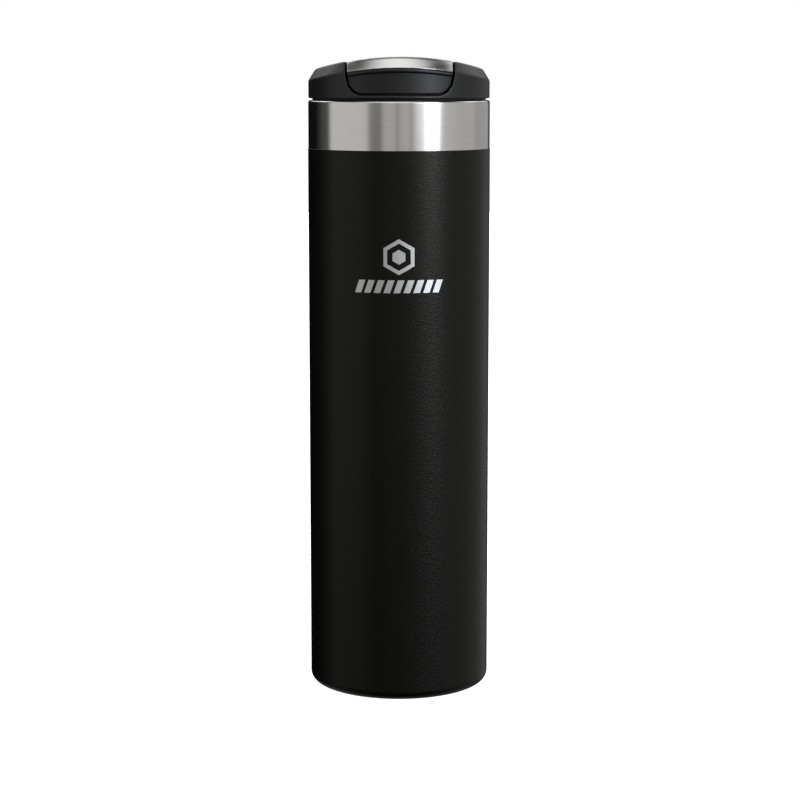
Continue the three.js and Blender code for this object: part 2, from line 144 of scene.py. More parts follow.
def cell_points(value, cells):
    """The middle of the surface's crossings with each cell's edges, in cells."""
    total = np.zeros((len(cells), 3))
    crossings = np.zeros(len(cells))
    for axis in range(3):
        unit = np.eye(3, dtype=int)[axis]
        others = [a for a in range(3) if a != axis]
        for edge in range(4):
            start = cells.copy()
            start[:, others[0]] += edge & 1
            start[:, others[1]] += edge >> 1
            a = value[tuple(start.T)]
            b = value[tuple((start + unit).T)]
            hit = (a < 0) != (b < 0)
            share = np.where(hit, a / np.where(hit, a - b, 1), 0)
            total += np.where(hit[:, None], start + share[:, None] * unit, 0)
            crossings += hit
    return total / crossings[:, None]


def crossing_quads(inside, index):
    """One quad round each grid edge that the surface crosses, from the cells' vertex indices."""
    quads = []
    for axis in range(3):
        b_axis, c_axis = (axis + 1) % 3, (axis + 2) % 3
        first = np.take(inside, range(inside.shape[axis] - 1), axis)
        second = np.take(inside, range(1, inside.shape[axis]), axis)
        edges = np.argwhere(first != second)
        leaves = first[tuple(edges.T)]
        ring = []
        for db, dc in ((0, 0), (1, 0), (1, 1), (0, 1)):
            cell = edges.copy()
            cell[:, b_axis] -= db
            cell[:, c_axis] -= dc
            ring.append(index[tuple(cell.T)])
        ring = np.stack(ring, 1)
        ring[~leaves] = ring[~leaves][:, ::-1]
        quads.append(ring)
    return np.concatenate(quads)


def surface_net(field, low, high, step):
    """Vertices and quads of the field's surface, one vertex in each grid cell that it crosses."""
    axes = [np.arange(a - BEFORE * step, b + AFTER * step, step) for a, b in zip(low, high)]
    value = field(*np.meshgrid(*axes, indexing="ij"))
    inside = value < 0
    cells = crossing_cells(inside)
    index = np.full([n - 1 for n in inside.shape], -1, np.int64)
    index[tuple(cells.T)] = np.arange(len(cells))
    origin = np.array([a[0] for a in axes])
    points = origin + step * cell_points(value, cells)
    return points, crossing_quads(inside, index)


def new_mesh(name, points, faces):
    mesh = bpy.data.meshes.new(name)
    mesh.from_pydata([tuple(p) for p in points], [], [tuple(f) for f in faces])
    mesh.validate()
    piece = bpy.data.objects.new(name, mesh)
    bpy.context.scene.collection.objects.link(piece)
    return piece


def from_field(name, field, low, high, step, keep):
    """A piece from a distance field, with its faces thinned to the share `keep`."""
    points, quads = surface_net(field, low, high, step)
    piece = new_mesh(name, settle(field, points, step), quads)
    thin = piece.modifiers.new("thin", "DECIMATE")
    thin.ratio = keep
    bake_modifiers(piece)
    mesh = piece.data
    co = np.empty(len(mesh.vertices) * 3)
    mesh.vertices.foreach_get("co", co)
    placed = settle(field, co.reshape(-1, 3), FINAL_REACH * step)
    mesh.vertices.foreach_set("co", placed.ravel())
    normals = slope(field, placed)
    normals /= np.maximum(np.linalg.norm(normals, axis=1), TINY)[:, None]
    mesh.shade_smooth()
    mesh.normals_split_custom_set_from_vertices([tuple(n) for n in normals])
    return piece


def bake_modifiers(piece):
    """Applies the piece's modifiers to its mesh."""
    shown = piece.evaluated_get(bpy.context.evaluated_depsgraph_get())
    old = piece.data
    piece.data = bpy.data.meshes.new_from_object(shown)
    piece.modifiers.clear()
    bpy.data.meshes.remove(old)


# ---------------------------------------------------------------- turned pieces
HOLD = 0.25 * MM  # how far from the end of a long stretch its extra points are


def arc(r, z, radius, start, end, steps):
    """Profile points on an arc, from one angle to another in degrees."""
    angles = [math.radians(start + (end - start) * i / steps) for i in range(steps + 1)]
    return [(r + radius * math.cos(a), z + radius * math.sin(a)) for a in angles]


def corner(r, z, radius, start, end, steps=5):
    """Profile points that round the corner at (r, z), between two outward angles in degrees."""
    turn = math.radians(end - start)
    middle = math.radians((start + end) / 2)
    back = radius / math.cos(turn / 2)
    return arc(r - back * math.cos(middle), z - back * math.sin(middle), radius, start, end, steps)


def held(profile, longest):
    """The profile with extra points near the ends of its long stretches, so that shading holds."""
    closed = profile + ([] if profile[0][0] == 0 else [profile[0]])
    made = [closed[0]]
    for (r0, z0), (r1, z1) in zip(closed, closed[1:]):
        length = math.hypot(r1 - r0, z1 - z0)
        if length > 3 * HOLD:
            between_ends = length - 2 * HOLD
            inner = max(1, math.ceil(between_ends / longest))
            stops = [HOLD + between_ends * i / inner for i in range(inner + 1)]
            made += [(r0 + (r1 - r0) * s / length, z0 + (z1 - z0) * s / length) for s in stops]
        made.append((r1, z1))
    return made if profile[0][0] == 0 else made[:-1]


def turned(name, profile, segments=192, longest=12 * MM, swell=None):
    """Turns a counter-clockwise profile round +Z. swell(angle, r, z) moves a point out."""
    points = held(profile, longest)
    angles = [2 * math.pi * i / segments for i in range(segments)]
    verts, rings = [], []
    for r, z in points:
        if r < TINY:
            rings.append([len(verts)] * segments)
            verts.append((0, 0, z))
            continue
        rings.append(list(range(len(verts), len(verts) + segments)))
        for a in angles:
            radius = r + (swell(a, r, z) if swell else 0)
            verts.append((radius * math.cos(a), radius * math.sin(a), z))
    faces = []
    pairs = list(zip(rings, rings[1:]))
    if points[0][0] > TINY:
        pairs.append((rings[-1], rings[0]))
    for low, high in pairs:
        for i in range(segments):
            j = (i + 1) % segments
            face = list(dict.fromkeys([low[i], low[j], high[j], high[i]]))
            if len(face) > 2:
                faces.append(face)
    piece = new_mesh(name, verts, faces)
    piece.data.shade_smooth()
    return piece


# ---------------------------------------------------------------- screw thread
THREAD_LEAD = 12 * MM
THREAD_STARTS = 3
THREAD_SPAN = math.radians(200)
THREAD_BASE = SEAT - 11 * MM  # lower end of the bottle's ribs, at angle 0
THREAD_TAPER = math.radians(12)
RIB_ROOT = 1 * MM
RIB_CREST = 0.4 * MM


def rib_height(angle, z, base):
    """From 0 on the wall to 1 on a rib's crest, for ribs that start at height base."""
    height = np.zeros_like(z)
    for start in range(THREAD_STARTS):
        along = np.mod(angle - 2 * math.pi * start / THREAD_STARTS, 2 * math.pi)
        away = np.abs(z - base - THREAD_LEAD * along / (2 * math.pi))
        flank = np.clip((RIB_ROOT - away) / (RIB_ROOT - RIB_CREST), 0, 1)
        ends = np.clip(np.minimum(along, THREAD_SPAN - along) / THREAD_TAPER, 0, 1)
        smooth = flank * flank * (3 - 2 * flank) * np.sqrt(ends)
        height = np.maximum(height, smooth)
    return height


# ---------------------------------------------------------------- bottle
FOOT_R = 27.2 * MM
COAT_EDGE_R = 0.1 * MM
MOUTH_R = 33 * MM
MOUTH_EDGE_R = 0.2 * MM
LINER_R = 31.4 * MM
LINER_WALL = 0.4 * MM
LINER_ROUND_R = 9 * MM
LIP_BASE = 1.9 * MM  # depths below the vessel's top
LIP_HEIGHT = 0.9 * MM
FLARE_HEIGHT = 1.2 * MM
LIP_FLARE = 0.5 * MM
BEAD_R = 29.7 * MM
BEAD_LOW = RIM_TOP - 16.9 * MM
BEAD_HIGH = RIM_TOP - 11.9 * MM
BEAD_SLOPE = 2.1 * MM
BEAD_LEAN = 39  # of the bead's flanks, in degrees
LIP_LEAN = 23  # of the wall's flare to the lip, in degrees
COAT_FOOT_R = FOOT_R + 1.2 * MM
COAT_LIFT = 0.004 * MM  # the coat's inner side stands this far off the steel
BOTTLE_RIB = 0.9 * MM
ON_WALL = 0.01 * MM  # points this near to the vessel's wall carry its thread
THREAD_ROW = 0.3 * MM
THREAD_ROWS = 34


def steel_shell():
    corner_r = COAT_R - BASE_CORNER_R
    inner_r = BAND_R - STEEL_SHEET
    edge_z = RIM_TOP - RIM_EDGE_R
    low = BASE_CORNER_R - (BAND_R - corner_r)
    profile = [
        (FOOT_R, low),
        *arc(corner_r, BASE_CORNER_R, BAND_R - corner_r, -90, 0, 10),
        *arc(BAND_R - RIM_EDGE_R, edge_z, RIM_EDGE_R, 0, 90, 8),
        *corner(MOUTH_R, RIM_TOP, MOUTH_EDGE_R, 90, 180),
        (MOUTH_R, RIM_TOP - STEEL_SHEET),
        (inner_r, RIM_TOP - STEEL_SHEET),
        *arc(corner_r, BASE_CORNER_R, inner_r - corner_r, 0, -90, 10),
        (FOOT_R, low + STEEL_SHEET),
    ]
    return turned("steel_shell", profile)


def powder_coat():
    corner_r = COAT_R - BASE_CORNER_R
    skin_r = BAND_R + COAT_LIFT
    profile = [
        (COAT_FOOT_R, 0),
        *arc(corner_r, BASE_CORNER_R, BASE_CORNER_R, -90, 0, 12),
        *corner(COAT_R, COAT_TOP, COAT_EDGE_R, 0, 90, 3),
        (skin_r, COAT_TOP),
        *arc(corner_r, BASE_CORNER_R, skin_r - corner_r, 0, -90, 12),
        (COAT_FOOT_R, BASE_CORNER_R - (skin_r - corner_r)),
    ]
    return turned("powder_coat", profile, segments=256)


def inner_vessel():
    floor, top = liner_low.z + LINER_WALL, liner_high.z
    centre_r, centre_z = LINER_R - LINER_ROUND_R, floor + LINER_ROUND_R
    outer_r = LINER_R + LINER_WALL
    lip_r = MOUTH_R - GAP
    bead = LINER_R - BEAD_R
    rows = [BEAD_HIGH + i * THREAD_ROW for i in range(1, THREAD_ROWS + 1)]
    inward, down, up = 180, 180 + BEAD_LEAN, 180 - BEAD_LEAN
    hollow_r, ridge_r = 0.8 * MM, 0.6 * MM
    profile = [
        (0, floor - LINER_WALL),
        *arc(centre_r, centre_z, LINER_ROUND_R + LINER_WALL, -90, 0, 10),
        (outer_r, BEAD_LOW),
        (outer_r - bead, BEAD_LOW + BEAD_SLOPE),
        (outer_r - bead, BEAD_HIGH - BEAD_SLOPE),
        (outer_r, BEAD_HIGH),
        (outer_r, top - LIP_BASE),
        (lip_r, top - LIP_HEIGHT),
        *corner(lip_r, top, 0.15 * MM, 0, 90, 3),
        *corner(LINER_R + LIP_FLARE, top, 0.3 * MM, 90, inward - LIP_LEAN, 4),
        *corner(LINER_R, top - FLARE_HEIGHT, 0.6 * MM, inward - LIP_LEAN, inward, 3),
        *[(LINER_R, z) for z in reversed(rows)],
        *corner(LINER_R, BEAD_HIGH, hollow_r, inward, up, 4),
        *corner(BEAD_R, BEAD_HIGH - BEAD_SLOPE, ridge_r, up, inward, 4),
        *corner(BEAD_R, BEAD_LOW + BEAD_SLOPE, ridge_r, inward, down, 4),
        *corner(LINER_R, BEAD_LOW, hollow_r, down, inward, 4),
        *arc(centre_r, centre_z, LINER_ROUND_R, 0, -90, 14),
        (0, floor),
    ]

    def thread(angle, r, z):
        if r > LINER_R + ON_WALL or z < BEAD_HIGH:
            return 0
        return -BOTTLE_RIB * float(rib_height(np.array(angle), np.array(z), THREAD_BASE))

    return turned("inner_vessel", profile, segments=256, swell=thread)


def base_disc():
    low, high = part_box("base_plate")
    radius = high.x
    groove_low, groove_high = radius - 4 * MM, radius - 3.5 * MM
    flank, bottom = 0.5 * MM, low.z + 0.25 * MM
    bend, flat, lean = 0.12 * MM, -90, 60
    profile = [
        (0, low.z),
        *corner(groove_low - flank, low.z, bend, flat, flat + lean, 3),
        *corner(groove_low, bottom, bend, flat + lean, flat, 3),
        *corner(groove_high, bottom, bend, flat, flat - lean, 3),
        *corner(groove_high + flank, low.z, bend, flat - lean, flat, 3),
        *corner(radius, low.z, 0.35 * MM, flat, 0),
        *corner(radius, high.z, 0.2 * MM, 0, 90),
        (0, high.z),
    ]
    return turned("base_disc", profile, longest=4 * MM)


# ---------------------------------------------------------------- lid forms, as distance fields
CAP_HALF = plate_high.x
SLOT_HALF = CAP_HALF + 0.7 * MM
FRONT_CORNER_R = 4 * MM
FRONT_SLOPE = 0.25
FRONT_STRAIGHT = 8.5 * MM  # below this height the sides lean in
SKIRT_BOTTOM = 2.05 * MM
SKIRT_R = 34 * MM
SKIRT_INNER_R = 32.6 * MM
CAVITY_R = 32.9 * MM
CAVITY_TOP = 5 * MM
KNUCKLE_R = 5.5 * MM
POCKET_R = 6.2 * MM
BOSS_PROUD = 0.4 * MM  # the cheeks are this much thicker beside the hinge
BOSS_REACH = 9 * MM
BOSS_RAMP = 1 * MM
SLOT_FRONT = -1 * MM  # the slot runs from here to the rear
REAR_TOP = 13 * MM  # the wall behind the hinge ends in a ledge at this height
OPEN_ANGLE = math.radians(120)
PLATE = 0.8 * MM
PLATE_REAR = plate_high.y
CAP_BOTTOM = 8.6 * MM
CAP_WALL = 1.6 * MM
SPOUT_Y = -22.5 * MM
SPOUT_HALF = 7 * MM
SPOUT_HOLE_R = 3.4 * MM
SPOUT_TOP = deck_high.z - SEAT
VENT_Y = 6 * MM
VENT_R = 1.3 * MM

# Rounds of edges, from the sharpest to the softest
HAIR_R = 0.1 * MM
CRISP_R = 0.2 * MM
FINE_R = 0.25 * MM
EDGE_R = 0.3 * MM
MILD_R = 0.4 * MM
BROAD_R = 0.5 * MM
SOFT_R = 0.6 * MM


def arch(x, radius):
    """How far an arched surface has fallen away at x."""
    inside = np.minimum(np.abs(x), ARCH_END * radius)
    return radius - np.sqrt(radius**2 - inside**2)


def lid_form(x, y, z, top_round=SOFT_R):
    """The lid's outer form: a round wall, a chamfer, and a top arched from side to side."""
    r = np.hypot(x, y)
    lifted = z + arch(x, CREASE_ARCH_R) - CREASE
    chamfer = (r - LID_R) * math.sin(CHAMFER) + lifted * math.cos(CHAMFER)
    top = np.hypot(x, z - TOP + TOP_ARCH_R) - TOP_ARCH_R
    side = both(r - LID_R, chamfer, EDGE_R)
    return both(both(side, top, top_round), -z, BROAD_R)


def front_outline(x, z, grow):
    """The front opening: sides that lean in below, and round lower corners."""
    leant = np.abs(x) + FRONT_SLOPE * np.maximum(FRONT_STRAIGHT - z, 0)
    return both(leant - CAP_HALF - grow, SKIRT_BOTTOM - grow - z, FRONT_CORNER_R + grow)


def round_hinge(y, z, radius):
    """A cylinder round the hinge's axis."""
    return np.hypot(y - PIN_Y, z - PIN_H) - radius


def hinge_side(y, z):
    """Side view of the room round the hinge: a floor, a round pocket, and a slope behind it."""
    dy, dz = y - PIN_Y, z - PIN_H
    lean = math.pi / 2 - OPEN_ANGLE
    off_slope = dy * math.cos(lean) + dz * math.sin(lean)
    up_slope = dz * math.cos(lean) - dy * math.sin(lean)
    round_part = np.where(up_slope > 0, off_slope, np.hypot(dy, dz))
    return np.where(dy < 0, -dz, round_part) - POCKET_R


def stadium(x, y, centre_y, half, radius):
    """A shape with round ends: `half` long each way, `radius` wide each way."""
    ends = np.maximum(np.abs(x) - (half - radius), 0)
    return np.hypot(ends, y - centre_y) - radius


def spout_shape(x, y, grow):
    return stadium(x, y, SPOUT_Y, SPOUT_HALF + grow, SPOUT_HOLE_R + grow)


def vent_shape(x, y, radius):
    return np.hypot(x, y - VENT_Y) - radius


def drink_ways(x, y):
    """The holes of the spout and the vent."""
    return np.minimum(spout_shape(x, y, 0), vent_shape(x, y, VENT_R))


def in_lid(field):
    """The same field with heights measured from the lid's seat."""
    return lambda x, y, z: field(x, y, z - SEAT)


def lid_piece(name, field, node, step, keep):
    low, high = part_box(node)
    return from_field(name, in_lid(field), low, high, step, keep)


# ---------------------------------------------------------------- lid
def collar_field(x, y, z):
    opening = both(front_outline(x, z, SLOT_HALF - CAP_HALF), y)
    bosses = BOSS_PROUD * np.clip((y - PIN_Y + BOSS_REACH) / BOSS_RAMP, 0, 1)
    room = either(hinge_side(y, z), REAR_TOP - z, MILD_R)
    slot = both(np.abs(x) - SLOT_HALF + bosses, room, EDGE_R)
    slot = both(slot, SLOT_FRONT - y)
    cavity = both(np.hypot(x, y) - CAVITY_R, z - CAVITY_TOP, SOFT_R)
    bore = both(round_hinge(y, z, PIN_R + GAP), np.abs(x) - pin_high.x - GAP)
    body = without(lid_form(x, y, z), cavity, EDGE_R)
    body = without(body, either(opening, slot), SOFT_R)
    return without(body, bore, CRISP_R)


def deck_field(x, y, z):
    low, floor_top = deck_low.z - SEAT, 3.8 * MM
    spout_wall, vent_wall = 1.8 * MM, 1.5 * MM
    spout_edge, foot = 0.7 * MM, 0.9 * MM
    r = np.hypot(x, y)
    floor = both(r - deck_high.x, between(z, low, floor_top), EDGE_R)
    tall = between(z, low, SPOUT_TOP)
    chimney = both(spout_shape(x, y, spout_wall), tall, spout_edge)
    boss = both(vent_shape(x, y, VENT_R + vent_wall), tall, SOFT_R)
    walls = either(floor, either(chimney, boss), foot)
    return without(walls, drink_ways(x, y), BROAD_R)


def stopper_field(x, y, z):
    low, high = stopper_low.z - SEAT, stopper_high.z - SEAT
    plug_r, inner_r, groove_r, foot_r = 30 * MM, 26.6 * MM, 28.4 * MM, 29.3 * MM
    rib, rib_end_r = 1 * MM, 30.5 * MM
    groove_low, groove_high = low + 0.5 * MM, low + 3.1 * MM
    step, foot_top = low + 1 * MM, low + 2 * MM
    flange_low, roof = 1.5 * MM, 1 * MM
    spout_wall, vent_wall = 1.4 * MM, 1.2 * MM
    r = np.hypot(x, y)
    half_pitch = THREAD_LEAD / THREAD_STARTS / 2
    ribs = rib * rib_height(np.arctan2(y, x), z, THREAD_BASE - SEAT + half_pitch)
    plug = both(r - plug_r - ribs, between(z, low, flange_low), MILD_R)
    groove = both(groove_r - r, between(z, groove_low, groove_high), CRISP_R)
    foot = both(r - foot_r, between(z, low, foot_top), CRISP_R)
    under = both(rib_end_r - r, z - foot_top)
    plug = without(without(plug, groove, CRISP_R), both(foot_r - r, z - step))
    plug = either(without(plug, under), foot)
    flange = both(r - deck_high.x, between(z, flange_low, high), CRISP_R)
    hollow = both(r - inner_r, z - roof)
    duct = np.minimum(spout_shape(x, y, spout_wall), vent_shape(x, y, VENT_R + vent_wall))
    walls = either(plug, flange, EDGE_R)
    walls = without(walls, without(hollow, duct), CRISP_R)
    return without(walls, drink_ways(x, y), CRISP_R)


def gasket_ring():
    low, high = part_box("lid_gasket")
    inner_r = 31.4 * MM
    step_r = CAVITY_R - 0.4 * MM
    sharp, round_r = 0.15 * MM, 0.3 * MM
    profile = [
        *corner(inner_r, RIM_TOP, sharp, 180, 270, 3),
        *corner(high.x, RIM_TOP, sharp, -90, 0, 4),
        *corner(high.x, SEAT, sharp, 0, 90, 4),
        (step_r, SEAT),
        *corner(step_r, high.z, round_r, 0, 90, 4),
        *corner(inner_r, high.z, round_r, 90, 180, 4),
    ]
    return turned("gasket_ring", profile)


def plug_seal_ring():
    low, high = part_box("stopper_seal")
    inner_r = 28.7 * MM
    body_r = high.x - 0.7 * MM
    lip_z, lip_round, lip_lean = (low.z + high.z) / 2, 0.45 * MM, 50
    profile = [
        *corner(inner_r, low.z, 0.2 * MM, 180, 270, 3),
        *corner(body_r, low.z, 0.3 * MM, -90, lip_lean - 90, 3),
        *corner(high.x, lip_z, lip_round, -lip_lean, lip_lean, 6),
        *corner(body_r, high.z, 0.3 * MM, 90 - lip_lean, 90, 3),
        *corner(inner_r, high.z, 0.2 * MM, 90, 180, 3),
    ]
    return turned("plug_seal_ring", profile)


def steel_pin():
    half = pin_high.x
    profile = [
        (0, -half),
        *corner(PIN_R, -half, EDGE_R, -90, 0, 4),
        *corner(PIN_R, half, EDGE_R, 0, 90, 4),
        (0, half),
    ]
    piece = turned("steel_pin", profile, segments=32)
    for vertex in piece.data.vertices:
        x, y, z = vertex.co
        vertex.co = (z, PIN_Y + x, SEAT + PIN_H + y)
    return piece


# ---------------------------------------------------------------- flip cap
LIP_TOP = CREASE - 0.1 * MM
LIP_LOW = LIP_TOP - 1.6 * MM
BRIDGE_FILLET = 0.8 * MM
TRAY_CORNER_R = 1 * MM
PANEL_LOW = CAP_BOTTOM + 0.2 * MM  # the cap's inner cover
PANEL_THICK = 1.4 * MM
SEAL_HEAD_LOW = CAP_BOTTOM + 1.9 * MM
SEAL_HEAD_HIGH = SEAL_HEAD_LOW + 0.8 * MM
SEAL_FLANGE = 1.5 * MM  # how far a seal's flange reaches past its hole
SEAL_PLAY = 0.4 * MM  # between a seal's plug and the hole's wall


def cap_plate_field(x, y, z):
    corner_r, side_edge = 1.2 * MM, 0.12 * MM
    outer = lid_form(x, y, z, top_round=corner_r)
    sheet = both(outer, -(outer + PLATE), FINE_R)
    lower = CREASE - arch(x, CREASE_ARCH_R) - z
    sides = both(np.abs(x) - CAP_HALF, y - PLATE_REAR, corner_r)
    return both(both(sheet, lower, HAIR_R), sides, side_edge)


def cap_front(x, y, z, form):
    """The front skirt with its thumb lip, and the cap's top below the steel plate."""
    skirt_up, groove_deep, groove_height, front_end = 0.1 * MM, 1 * MM, 0.9 * MM, 2 * MM
    r = np.hypot(x, y)
    fallen = z + arch(x, CREASE_ARCH_R)
    lip = both(r - LID_R, between(fallen, LIP_LOW, LIP_TOP), SOFT_R)
    column = both(r - SKIRT_R, fallen - LIP_TOP + skirt_up)
    groove = between(fallen, LIP_LOW - groove_height, LIP_LOW)
    groove = both(SKIRT_R - groove_deep - r, groove, CRISP_R)
    column = without(column, groove, FINE_R)
    front = either(np.minimum(column, lip), form + PLATE + GAP)
    outline = both(front_outline(x, z, 0), y - PLATE_REAR - front_end)
    front = both(front, outline, EDGE_R)
    return without(front, both(r - SKIRT_INNER_R, z - CAP_BOTTOM), EDGE_R)


def cap_hinge(x, y, z, form):
    """The knuckle round the pin, and the bridge from it to the cap's top."""
    knuckle = round_hinge(y, z, KNUCKLE_R)
    bridge = both(between(y, PLATE_REAR + GAP, PIN_Y), CAP_BOTTOM - z)
    hinge = both(either(knuckle, bridge, BRIDGE_FILLET), form, EDGE_R)
    return both(hinge, np.abs(x) - CAP_HALF, BROAD_R)


def cap_shell_field(x, y, z):
    tray_front, tray_rear, tray_r = -40 * MM, PLATE_REAR - 1 * MM, 30.9 * MM
    form = lid_form(x, y, z)
    tray = both(np.abs(x) - CAP_HALF + CAP_WALL, between(y, tray_front, tray_rear), TRAY_CORNER_R)
    tray = both(tray, np.hypot(x, y) - tray_r, BROAD_R)
    tray = both(tray, form + PLATE + GAP + CAP_WALL)
    shell = without(either(cap_front(x, y, z, form), cap_hinge(x, y, z, form)), tray, EDGE_R)
    return without(shell, round_hinge(y, z, PIN_R + GAP), CRISP_R)


def cap_liner_field(x, y, z):
    half, rear, front_r = CAP_HALF - CAP_WALL - GAP, PLATE_REAR - 1.3 * MM, 30.5 * MM
    recess_wall, recess_deep, stem_hole_r = 1.5 * MM, 0.35 * MM, 1.8 * MM
    rim = both(np.abs(x) - half, y - rear, TRAY_CORNER_R)
    rim = both(rim, np.hypot(x, y) - front_r, BROAD_R)
    panel = both(rim, between(z, PANEL_LOW, PANEL_LOW + PANEL_THICK), FINE_R)
    recess = both(rim + recess_wall, z - PANEL_LOW - recess_deep, HAIR_R)
    panel = without(panel, recess, HAIR_R)
    stems = np.minimum(np.hypot(x, y - SPOUT_Y), np.hypot(x, y - VENT_Y)) - stem_hole_r
    return without(panel, stems)


def seal_field(flange, plug, centre_y):
    """A silicone plug with a flange and a stem, as a field."""
    flange_low, flange_high = SPOUT_TOP + GAP, PANEL_LOW - GAP
    plug_low = SPOUT_TOP - 2.2 * MM
    stem_r, head_r = 1.5 * MM, 2.4 * MM

    def field(x, y, z):
        disc = both(flange(x, y), between(z, flange_low, flange_high), FINE_R)
        body = both(plug(x, y), between(z, plug_low, flange_high), SOFT_R)
        around = np.hypot(x, y - centre_y)
        stem = both(around - stem_r, between(z, flange_low, SEAL_HEAD_HIGH))
        head = both(around - head_r, between(z, SEAL_HEAD_LOW, SEAL_HEAD_HIGH), EDGE_R)
        return np.minimum(either(disc, body, EDGE_R), np.minimum(stem, head))

    return field


def spout_plug():
    field = seal_field(
        lambda x, y: spout_shape(x, y, SEAL_FLANGE),
        lambda x, y: spout_shape(x, y, -SEAL_PLAY),
        SPOUT_Y,
    )
    return lid_piece("spout_plug", field, "spout_seal", step=0.3 * MM, keep=0.6)


def vent_plug():
    field = seal_field(
        lambda x, y: vent_shape(x, y, VENT_R + SEAL_FLANGE),
        lambda x, y: vent_shape(x, y, VENT_R - SEAL_PLAY),
        VENT_Y,
    )
    return lid_piece("vent_plug", field, "vent_seal", step=0.22 * MM, keep=0.6)


# ---------------------------------------------------------------- mark on the bottle
MARK_Z = 174.5 * MM
MARK_TURN = math.radians(-0.7)  # the lid is screwed on a little past the mark
MARK_PROUD = 0.04 * MM
MARK_DEPTH = 0.1 * MM
EMBLEM_UP = 3.5 * MM
BARS = 9
BARS_UP = -8 * MM
BAR_PITCH = 3.9 * MM
BAR_WIDTH = 2.6 * MM
BAR_HEIGHT = 5 * MM
BAR_LEAN = 1.8 * MM
RING_OUTER_R, RING_INNER_R, DOT_R = 7 * MM, 5.3 * MM, 2.9 * MM  # the emblem's hexagons
NO_AREA = 1e-14  # square metres


def outline(corners, steps=4):
    """Points along the edges of a polygon of (along, up) corners."""
    return [
        (a[0] + (b[0] - a[0]) * k / steps, a[1] + (b[1] - a[1]) * k / steps)
        for a, b in zip(corners, corners[1:] + corners[:1])
        for k in range(steps)
    ]


def hexagon(radius):
    """Corners of a hexagon that stands on a corner, counter-clockwise."""
    turns = [math.radians(90 + 60 * i) for i in range(6)]
    return [(radius * math.cos(t), EMBLEM_UP + radius * math.sin(t)) for t in turns]


def slanted_bar(middle):
    half, rise, lean = BAR_WIDTH / 2, BAR_HEIGHT / 2, BAR_LEAN / 2
    return [
        (middle - half - lean, BARS_UP - rise),
        (middle + half - lean, BARS_UP - rise),
        (middle + half + lean, BARS_UP + rise),
        (middle - half + lean, BARS_UP + rise),
    ]


def filled(corners):
    """Loops of one polygon, from its edge in to its middle."""
    rim = outline(corners)
    middle = [sum(axis) / len(corners) for axis in zip(*corners)]
    shares = (0, 0.5, 1)
    return [[tuple(p + (m - p) * t for p, m in zip(q, middle)) for q in rim] for t in shares]


def steel_mark():
    """A plain hexagon over a row of slanted bars, as thin closed patches that follow the coat."""
    ring = [outline(hexagon(RING_OUTER_R)), outline(hexagon(RING_INNER_R))]
    middles = [(i - (BARS - 1) / 2) * BAR_PITCH for i in range(BARS)]
    patches = [ring, filled(hexagon(DOT_R)), *[filled(slanted_bar(m)) for m in middles]]
    verts, faces = [], []
    for loops in patches:
        base, sides = len(verts), len(loops[0])
        depth = len(loops) * sides
        for radius in (COAT_R + MARK_PROUD, COAT_R - MARK_DEPTH):
            for s, up in [point for loop in loops for point in loop]:
                turn = s / COAT_R + MARK_TURN
                verts.append((radius * math.sin(turn), -radius * math.cos(turn), MARK_Z + up))
        for i in range(sides):
            j = (i + 1) % sides
            for row in range(0, depth - sides, sides):
                quad = [row + i, row + j, row + sides + j, row + sides + i]
                faces.append([base + v for v in quad])
                faces.append([base + depth + v for v in reversed(quad)])
            last = base + depth - sides
            faces.append([base + j, base + i, base + depth + i, base + depth + j])
            faces.append([last + i, last + j, last + depth + j, last + depth + i])
    piece = new_mesh("steel_mark", verts, faces)
    clean = bmesh.new()
    clean.from_mesh(piece.data)
    bmesh.ops.remove_doubles(clean, verts=clean.verts, dist=0.001 * MM)
    flat = [face for face in clean.faces if face.calc_area() < NO_AREA]
    bmesh.ops.delete(clean, geom=flat, context="FACES_ONLY")
    clean.to_mesh(piece.data)
    clean.free()
    return piece


# ---------------------------------------------------------------- materials


class Nodes:
    """A node tree that grows node by node."""

    def __init__(self, tree):
        self.nodes, self.links = tree.nodes, tree.links

    def node(self, kind, inputs, **settings):
        """Adds a node. An input is either a value or another node's output."""
        made = self.nodes.new(kind)
        for key, value in settings.items():
            setattr(made, key, value)
        for socket, value in inputs.items():
            if isinstance(value, bpy.types.NodeSocket):
                self.links.new(value, made.inputs[socket])
            else:
                made.inputs[socket].default_value = value
        return made


